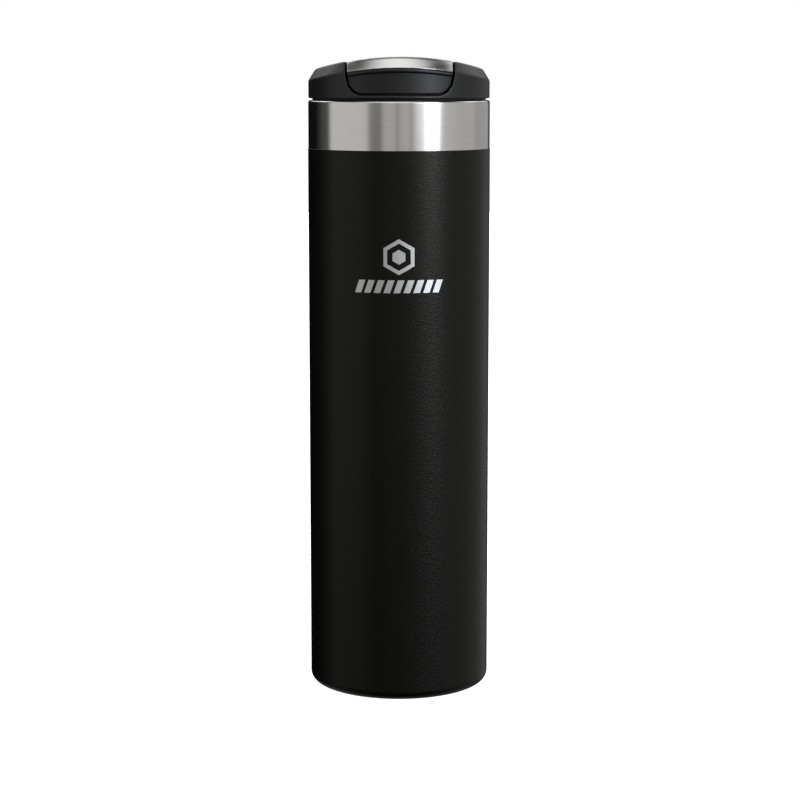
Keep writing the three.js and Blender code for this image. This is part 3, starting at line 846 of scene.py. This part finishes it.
class Look(Nodes):
    """A procedural material: a Principled shader and the textures that vary it."""

    def __init__(self, name, color, roughness, metallic=0.0, **sockets):
        self.material = bpy.data.materials.new(name)
        self.material.use_nodes = True
        self.material.diffuse_color = (*color, 1)
        super().__init__(self.material.node_tree)
        self.shader = self.nodes["Principled BSDF"]
        self.put("Base Color", (*color, 1))
        self.put("Roughness", roughness)
        self.put("Metallic", metallic)
        for socket, value in sockets.items():
            self.put(socket.replace("_", " "), value)
        self.place = self.node("ShaderNodeTexCoord", {}).outputs["Object"]

    def put(self, socket, value):
        self.shader.inputs[socket].default_value = value

    def grain(self, size, detail=2.0):
        """Noise with features of the given size in metres, along x, y and z."""
        sizes = size if isinstance(size, tuple) else (size, size, size)
        mapping = {"Vector": self.place, "Scale": [1 / s for s in sizes]}
        return self.noise(self.node("ShaderNodeMapping", mapping).outputs[0], detail)

    def noise(self, place, detail):
        inputs = {"Vector": place, "Scale": 1.0, "Detail": detail}
        return self.node("ShaderNodeTexNoise", inputs).outputs[0]

    def spread(self, value, low, high, start=0.25, end=0.75):
        """Maps a texture's value to the range from low to high."""
        inputs = {"Value": value, "From Min": start, "From Max": end, "To Min": low, "To Max": high}
        return self.node("ShaderNodeMapRange", inputs).outputs[0]

    def rough(self, value, low, high):
        self.links.new(self.spread(value, low, high), self.shader.inputs["Roughness"])

    def tint(self, value, low, high, start=0.25, end=0.75):
        """Colours the piece from one colour to another with a texture's value."""
        share = self.spread(value, 0, 1, start, end)
        inputs = {"Factor": share, 6: (*low, 1), 7: (*high, 1)}  # 6 and 7: the two colours
        mixed = self.node("ShaderNodeMix", inputs, data_type="RGBA")
        self.links.new(mixed.outputs[2], self.shader.inputs["Base Color"])

    def relief(self, value, depth):
        """Adds a bump of the given depth in metres."""
        made = self.node("ShaderNodeBump", {"Height": value, "Distance": depth, "Strength": 1.0})
        self.links.new(made.outputs[0], self.shader.inputs["Normal"])

    def stretch(self, axis):
        """Turns the steel's long highlights along circles round an axis."""
        tangent = self.node("ShaderNodeTangent", {}, direction_type="RADIAL", axis=axis)
        self.links.new(tangent.outputs[0], self.shader.inputs["Tangent"])


def coat_look():
    look = Look("powder_coat", (0.0012, 0.0012, 0.0011), 0.34, Specular_IOR_Level=0.235)
    look.put("Specular Tint", (1, 1, 0.84, 1))
    fine = look.grain(0.45 * MM, 0)
    look.rough(fine, 0.28, 0.4)
    look.tint(fine, (0.001, 0.001, 0.0009), (0.002, 0.002, 0.0018))
    look.relief(fine, 0.05 * MM)
    return look.material


def band_look():
    look = Look("brushed_band", (0.65, 0.64, 0.615), 0.2, 1, Anisotropic=0.7)
    look.put("Anisotropic Rotation", 0.25)
    look.stretch("Z")
    lines = look.grain((9 * MM, 9 * MM, 0.09 * MM), 3)
    blotch = look.grain((14 * MM, 14 * MM, 1.2 * MM), 2)
    look.rough(lines, 0.17, 0.23)
    look.tint(blotch, (0.635, 0.624, 0.597), (0.665, 0.654, 0.628))
    look.relief(lines, 0.0007 * MM)
    return look.material


def etched_look():
    """Bare steel where the coat was taken off: matt, with a fine grain."""
    look = Look("etched_steel", (0.66, 0.65, 0.63), 0.45, 1)
    fine = look.grain(0.3 * MM, 2)
    look.rough(fine, 0.4, 0.52)
    look.tint(fine, (0.62, 0.61, 0.59), (0.7, 0.69, 0.67))
    look.relief(fine, 0.01 * MM)
    return look.material


def plate_look():
    look = Look("brushed_plate", (0.6, 0.59, 0.58), 0.28, 1, Anisotropic=0.7)
    look.stretch("X")
    lines = look.grain((14 * MM, 0.09 * MM, 0.09 * MM), 3)
    look.rough(lines, 0.24, 0.36)
    look.tint(lines, (0.56, 0.55, 0.54), (0.64, 0.63, 0.62))
    look.relief(lines, 0.0025 * MM)
    return look.material


def spun_look():
    """Steel with lathe lines in circles round the axis, for the base and the vessel."""
    look = Look("spun_steel", (0.62, 0.61, 0.6), 0.24, 1, Anisotropic=0.5)
    look.stretch("Z")
    x, y, z = look.node("ShaderNodeSeparateXYZ", {"Vector": look.place}).outputs
    flat = look.node("ShaderNodeCombineXYZ", {"X": x, "Y": y}).outputs[0]
    radius = look.node("ShaderNodeVectorMath", {0: flat}, operation="LENGTH").outputs["Value"]
    rings = look.node("ShaderNodeCombineXYZ", {"X": radius, "Z": z}).outputs[0]
    mapping = {"Vector": rings, "Scale": [1 / (0.12 * MM)] * 3}
    lines = look.noise(look.node("ShaderNodeMapping", mapping).outputs[0], 2.0)
    blotch = look.grain(7 * MM, 2)
    look.rough(blotch, 0.18, 0.32)
    look.tint(blotch, (0.57, 0.565, 0.55), (0.66, 0.65, 0.635))
    look.relief(lines, 0.003 * MM)
    return look.material


def plastic_look(name, dark, light, roughness):
    look = Look(name, dark, roughness, Specular_IOR_Level=0.46)
    fine = look.grain(0.16 * MM, 2)
    broad = look.grain(6 * MM, 2)
    look.rough(broad, roughness - 0.05, roughness + 0.05)
    look.tint(broad, dark, light)
    look.relief(fine, 0.006 * MM)
    return look.material


def silicone_look(name, dark, light, specular=0.5):
    look = Look(name, dark, 0.6, Specular_IOR_Level=specular)
    broad = look.grain(3 * MM, 3)
    look.rough(broad, 0.5, 0.7)
    look.tint(broad, dark, light)
    look.relief(look.grain(0.2 * MM, 2), 0.01 * MM)
    return look.material


def foam_look():
    look = Look("foam", (0.8, 0.79, 0.74), 0.9)
    inputs = {"Vector": look.place, "Scale": 1 / (2.2 * MM)}
    beads = look.node("ShaderNodeTexVoronoi", inputs).outputs["Distance"]
    # painted shade: the bead edges, which the bump below sinks into grooves, are painted darker
    # than the bead middles
    look.tint(beads, (0.84, 0.83, 0.79), (0.6, 0.59, 0.54), 0.2, 0.7)
    look.relief(beads, -0.3 * MM)
    return look.material


def metal_look(name, dark, light, roughness, size, depth):
    look = Look(name, dark, roughness, 1)
    lumps = look.grain(size, 3)
    look.rough(lumps, roughness - 0.1, roughness + 0.1)
    look.tint(lumps, dark, light)
    look.relief(lumps, depth)
    return look.material


# ---------------------------------------------------------------- building the pieces
# the darker and the lighter colour of each material
BLACK = ((0.002, 0.002, 0.0019), (0.0035, 0.0035, 0.0033))
GREY = ((0.032, 0.032, 0.034), (0.045, 0.045, 0.047))
DARK_RUBBER = ((0.004, 0.004, 0.004), (0.007, 0.007, 0.007))
CLEAR_RUBBER = ((0.5, 0.51, 0.52), (0.58, 0.59, 0.6))
SOLDER = ((0.26, 0.26, 0.27), (0.36, 0.36, 0.37))
GETTER = ((0.1, 0.1, 0.105), (0.15, 0.15, 0.155))

LOOKS = {
    "powder_coat": coat_look(),
    "brushed_band": band_look(),
    "brushed_plate": plate_look(),
    "etched_steel": etched_look(),
    "spun_steel": spun_look(),
    "black_plastic": plastic_look("black_plastic", *BLACK, 0.43),
    "grey_plastic": plastic_look("grey_plastic", *GREY, 0.42),
    "dark_silicone": silicone_look("dark_silicone", *DARK_RUBBER, 0.3),
    "clear_silicone": silicone_look("clear_silicone", *CLEAR_RUBBER),
    "foam": foam_look(),
    "solder": metal_look("solder", *SOLDER, 0.45, size=1 * MM, depth=0.1 * MM),
    "getter": metal_look("getter", *GETTER, 0.6, size=0.3 * MM, depth=0.05 * MM),
}

# piece, its look, the record's slot, the body that it rides on, and the nodes that it replaces
PIECES = [
    (powder_coat(), "powder_coat", "powder_coat", "bottle", ["outer_shell"]),
    (steel_shell(), "brushed_band", "brushed_steel", "bottle", []),
    (steel_mark(), "etched_steel", "brushed_steel", "bottle", []),
    (inner_vessel(), "spun_steel", "drawn_steel", "bottle", ["inner_liner"]),
    (base_disc(), "spun_steel", "brushed_steel", "bottle", ["base_plate"]),
    (gasket_ring(), "dark_silicone", "dark_silicone", "gasket", ["lid_gasket"]),
    (
        lid_piece("collar", collar_field, "lid_collar", step=0.28 * MM, keep=0.25),
        "black_plastic", "black_plastic", "lid", ["lid_collar"],
    ),
    (
        lid_piece("deck", deck_field, "lid_deck", step=0.4 * MM, keep=0.4),
        "black_plastic", "black_plastic", "lid", ["lid_deck"],
    ),
    (
        lid_piece("stopper", stopper_field, "stopper_body", step=0.4 * MM, keep=0.4),
        "grey_plastic", "grey_plastic", "lid", ["stopper_body"],
    ),
    (plug_seal_ring(), "clear_silicone", "clear_silicone", "lid", ["stopper_seal"]),
    (steel_pin(), "spun_steel", "drawn_steel", "lid", ["hinge_pin"]),
    (
        lid_piece("cap_plate", cap_plate_field, "flip_cap_plate", step=0.25 * MM, keep=0.3),
        "brushed_plate", "brushed_steel", "flip_cap", ["flip_cap_plate"],
    ),
    (
        lid_piece("cap_shell", cap_shell_field, "flip_cap_shell", step=0.28 * MM, keep=0.25),
        "black_plastic", "black_plastic", "flip_cap", ["flip_cap_shell"],
    ),
    (
        lid_piece("cap_liner", cap_liner_field, "flip_cap_liner", step=0.4 * MM, keep=0.4),
        "black_plastic", "black_plastic", "flip_cap", ["flip_cap_liner"],
    ),
    (spout_plug(), "clear_silicone", "clear_silicone", "flip_cap", ["spout_seal"]),
    (vent_plug(), "clear_silicone", "clear_silicone", "flip_cap", ["vent_seal"]),
]
for piece, look, slot, body, nodes in PIECES:
    piece.data.materials.append(LOOKS[look])
    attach(piece, body)
    if nodes:
        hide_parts(*nodes)

for node, look in {
    "base_cap": "spun_steel",
    "vacuum_seal": "solder",
    "getter": "getter",
    "stopper_cover": "grey_plastic",
    "stopper_foam": "foam",
}.items():
    for slot in bpy.data.objects[node].material_slots:
        slot.material = LOOKS[look]

# ---------------------------------------------------------------- camera
CAMERA_AWAY = 867.7 * MM
CAMERA_UP = 248.9 * MM
CAMERA_TURN = math.radians(-0.7)
CAMERA_ASIDE = 0.4 * MM
CAMERA_PITCH = math.radians(8.68)
CAMERA_LENS = 96.6
CAMERA_SENSOR = 36

camera_data = bpy.data.cameras.new("camera")
camera_data.lens = CAMERA_LENS
camera_data.sensor_width = CAMERA_SENSOR
camera = bpy.data.objects.new("camera", camera_data)
bpy.context.scene.collection.objects.link(camera)
camera.location = (
    CAMERA_AWAY * math.sin(CAMERA_TURN) + CAMERA_ASIDE,
    -CAMERA_AWAY * math.cos(CAMERA_TURN),
    CAMERA_UP,
)
camera.rotation_euler = (math.pi / 2 - CAMERA_PITCH, 0, CAMERA_TURN)
bpy.context.scene.camera = camera

# ---------------------------------------------------------------- studio
# Panels of light round the mug, in degrees: the middle and the half-width (0 is the camera's side,
# and the right is positive), the lowest and highest height, how soft the sides and the ends are,
# and the brightness.
SIDE_PANELS = [
    (-69, 29.5, -14, 40, 8, 28, 0.64),
    (-78, 40, -14, 40, 30, 28, 0.09),
    (-8, 31.5, -10, 40, 8, 24, 0.26),
    (-12.9, 8.8, -10, 40, 6, 24, 0.35),
    (5.6, 6.7, -10, 40, 5, 24, 0.34),
    (60, 50, -12, 34, 8, 28, 0.12),
    (37, 16, 0, 30, 16, 14, 2.2),
    (105, 50, -24, 34, 10, 24, 0.42),
    (66, 10, -24, 34, 16, 24, 0.06),
    (-150, 35, 24, 42, 12, 12, 2.0),
    (122, 16, 26, 50, 14, 12, 1.4),
    (158, 30, 24, 42, 12, 12, 0.6),
    (180, 32, 16, 26, 14, 10, 1.7),
    (180, 95, -90, -32, 30, 16, 0.3),
]
KEY_PANELS = [(42.4, 7.6, 3, 30, 10, 12, 10.5)]
SIDE_TINT = (1, 1, 1, 1)
KEY_TINT = (0.9, 1, 1.18, 1)
DARK = 0.002
SOFTBOX_WAY = (-0.04, -0.34, 0.94)  # towards the softbox above the camera's side
SOFTBOX_EDGE = (0.76, 1.02)  # how its light grows with the cosine of the angle to that way
SOFTBOX = 1.6


class WorldLight(Nodes):
    """The studio's light by direction, summed from soft-edged panels."""

    def __init__(self, world):
        super().__init__(world.node_tree)
        self.nodes.clear()
        self.way = self.node("ShaderNodeTexCoord", {}).outputs["Generated"]
        x, y, z = self.node("ShaderNodeSeparateXYZ", {"Vector": self.way}).outputs
        around = self.maths("ARCTAN2", x, self.maths("MULTIPLY", y, -1.0))
        self.azimuth = self.maths("DEGREES", around)
        self.height = self.maths("DEGREES", self.maths("ARCSINE", z))

    def maths(self, operation, *values):
        sockets = dict(enumerate(values))
        return self.node("ShaderNodeMath", sockets, operation=operation).outputs[0]

    def ramp(self, value, low, high):
        """From 0 at low to 1 at high, where low may be the larger."""
        inputs = {"Value": value, "From Min": low, "From Max": high}
        if low > high:
            inputs.update({"From Min": high, "From Max": low, "To Min": 1.0, "To Max": 0.0})
        made = self.node("ShaderNodeMapRange", inputs, interpolation_type="SMOOTHSTEP")
        return made.outputs[0]

    def panel(self, middle, half, lowest, highest, side_soft, end_soft, bright):
        """The light of one panel, with its values in the order of the lists above."""
        off = self.maths("WRAP", self.maths("SUBTRACT", self.azimuth, middle), 180.0, -180.0)
        off = self.maths("ABSOLUTE", off)
        across = self.ramp(off, half + side_soft / 2, half - side_soft / 2)
        above = self.ramp(self.height, lowest - end_soft / 2, lowest + end_soft / 2)
        below = self.ramp(self.height, highest + end_soft / 2, highest - end_soft / 2)
        share = self.maths("MULTIPLY", self.maths("MULTIPLY", across, above), below)
        return self.maths("MULTIPLY", share, bright)

    def lit(self, panels, total, tint):
        """A background with the light of the panels added to the given brightness."""
        for panel in panels:
            total = self.maths("ADD", self.panel(*panel), total)
        inputs = {"Color": tint, "Strength": total}
        return self.node("ShaderNodeBackground", inputs).outputs[0]


def studio_world():
    world = bpy.data.worlds.new("studio")
    world.use_nodes = True
    light = WorldLight(world)
    inputs = {0: light.way, 1: Vector(SOFTBOX_WAY).normalized()}
    near = light.node("ShaderNodeVectorMath", inputs, operation="DOT_PRODUCT").outputs["Value"]
    box = light.maths("MULTIPLY", light.ramp(near, *SOFTBOX_EDGE), SOFTBOX)
    sides = light.lit(SIDE_PANELS, light.maths("ADD", box, DARK), SIDE_TINT)
    keys = light.lit(KEY_PANELS, 0.0, KEY_TINT)
    studio = light.node("ShaderNodeAddShader", {0: sides, 1: keys}).outputs[0]
    white = light.node("ShaderNodeBackground", {"Color": (1, 1, 1, 1)}).outputs[0]
    seen = light.node("ShaderNodeLightPath", {}).outputs["Is Camera Ray"]
    mixed = light.node("ShaderNodeMixShader", {0: seen, 1: studio, 2: white}).outputs[0]
    light.node("ShaderNodeOutputWorld", {"Surface": mixed})
    bpy.context.scene.world = world


def studio_floor():
    """A pale sweep, lit to plain white and kept out of the reflections."""
    half = 3.0
    points = [(-half, -half, 0), (half, -half, 0), (half, half, 0), (-half, half, 0)]
    floor = new_mesh("studio_floor", points, [(0, 1, 2, 3)])
    material = bpy.data.materials.new("studio_floor")
    material.use_nodes = True
    shader = material.node_tree.nodes["Principled BSDF"]
    shader.inputs["Base Color"].default_value = (0.9, 0.9, 0.9, 1)
    shader.inputs["Emission Color"].default_value = (1, 1, 1, 1)
    shader.inputs["Emission Strength"].default_value = 1.0
    floor.data.materials.append(material)
    floor.visible_diffuse = False
    floor.visible_glossy = False
    floor.visible_shadow = False


studio_world()
studio_floor()

view = bpy.context.scene.view_settings
view.view_transform = "Standard"
view.look = "None"
